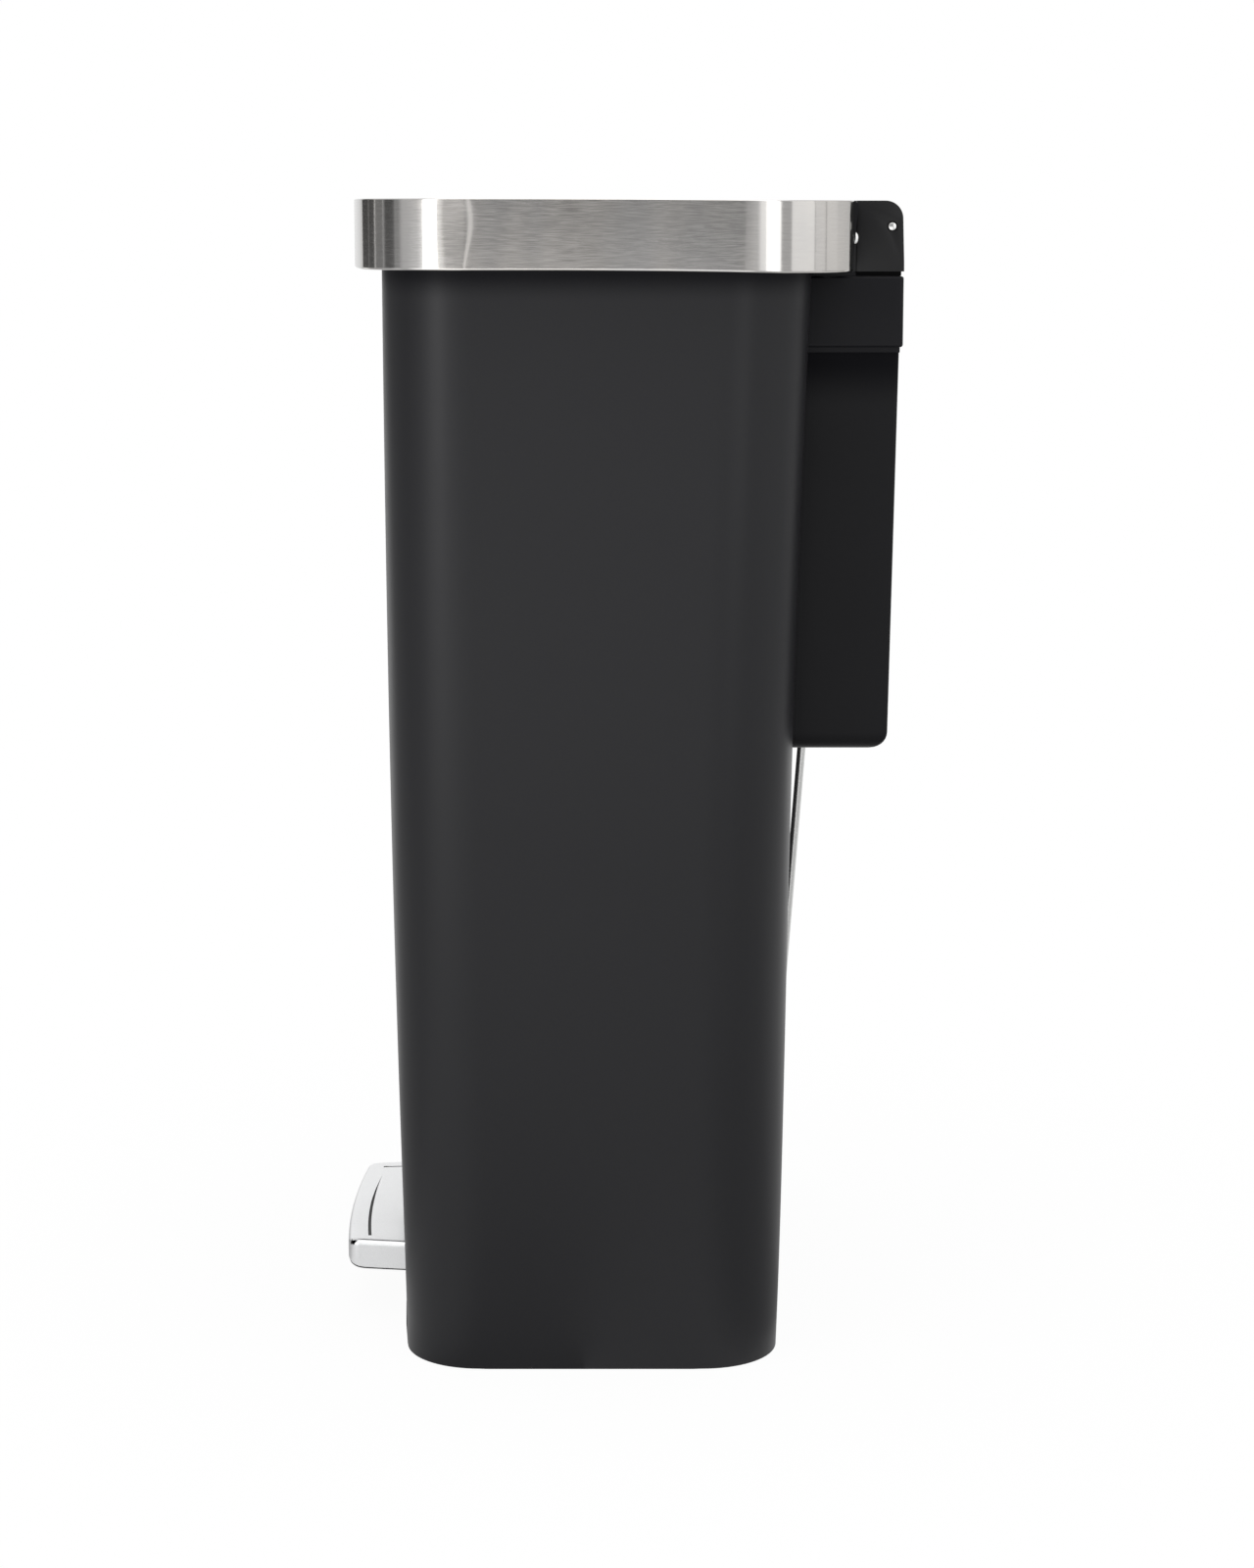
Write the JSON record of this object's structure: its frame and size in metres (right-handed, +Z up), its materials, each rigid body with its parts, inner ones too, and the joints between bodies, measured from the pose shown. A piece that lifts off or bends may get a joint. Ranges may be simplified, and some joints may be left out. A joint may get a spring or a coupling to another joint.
{
  "type": "pedal trash can",
  "caption": "Tall rectangular kitchen trash can with a steel rim that flips up, a rear-hinged lid, a liner pocket behind, and a foot pedal that lifts the lid through a rod.",
  "frame": {"origin": "middle of the base's footprint, on the floor", "axes": "+Z up, -Y towards the pedal and the user, X across the can"},
  "size_m": [0.41, 0.3206, 0.65],
  "materials": {
    "body_plastic": "satin moulded",
    "trim_plastic": "fine matt moulded",
    "lid_plastic": "satin moulded",
    "rim_steel": "brushed along the band",
    "pedal_steel": "satin",
    "rod_steel": "bright drawn",
    "lever_steel": "galvanised",
    "screw_steel": "zinc plated",
    "bush_plastic": "natural acetal",
    "damper_plastic": "smooth",
    "pad_rubber": "soft matt"
  },
  "bodies": {
    "root": {"outer_body": "body_plastic", "base_plate": "trim_plastic", "floor_pads": "pad_rubber", "base_screws": "screw_steel", "top_collar": "trim_plastic", "hinge_block": "trim_plastic", "lid_hinge_pin": "rod_steel", "rim_pivot_pins": "rod_steel", "rear_housing": "trim_plastic", "housing_screws": "screw_steel", "liner_pocket": "trim_plastic", "lever_pin": "rod_steel", "lever_bushes": "bush_plastic", "damper_cylinder": "damper_plastic", "damper_cap": "damper_plastic"},
    "lid": {"lid_shell": "lid_plastic", "lid_inner_panel": "lid_plastic", "lid_hinge_bracket": "lever_steel", "bracket_screws": "screw_steel", "lid_bumpers": "pad_rubber"},
    "rod": {"lift_rod": "rod_steel", "rod_clips": "screw_steel"},
    "lever": {"pedal_lever": "lever_steel", "pedal_core": "trim_plastic", "pedal_cap": "pedal_steel", "pedal_rivets": "screw_steel"},
    "damper_stem": {"damper_piston": "rod_steel", "damper_knob": "damper_plastic"},
    "rim": {"rim_band": "rim_steel", "rim_frame": "trim_plastic"}
  },
  "joints": [
    {"name": "lid_hinge", "type": "hinge", "parent": "root", "child": "lid", "pos_m": [0, 0.16975, 0.6353], "axis": [-1, 0, 0], "range_deg": [0, 75]},
    {"name": "rod_pivot", "type": "hinge", "parent": "lid", "child": "rod", "pos_m": [0, 0.15015, 0.62026], "axis": [-1, 0, 0], "range_deg": [-75, 0]},
    {"name": "pedal_pivot", "type": "hinge", "parent": "root", "child": "lever", "pos_m": [0, -0.0406, 0.03], "axis": [1, 0, 0], "range_deg": [0, 13]},
    {"name": "damper_slide", "type": "slide", "parent": "root", "child": "damper_stem", "axis": [0, 0, 1], "range_m": [0, 0.0191]},
    {"name": "rim_flip", "type": "hinge", "parent": "root", "child": "rim", "pos_m": [0, 0.14935, 0.629], "axis": [-1, 0, 0], "range_deg": [0, 40]}
  ],
  "couplings": [
    {"joint": "rod_pivot", "follows": "lid_hinge", "ratio": -1},
    {"joint": "pedal_pivot", "follows": "lid_hinge", "ratio": 0.17333},
    {"joint": "damper_slide", "follows": "lid_hinge", "m_per_rad": 0.0145}
  ]
}
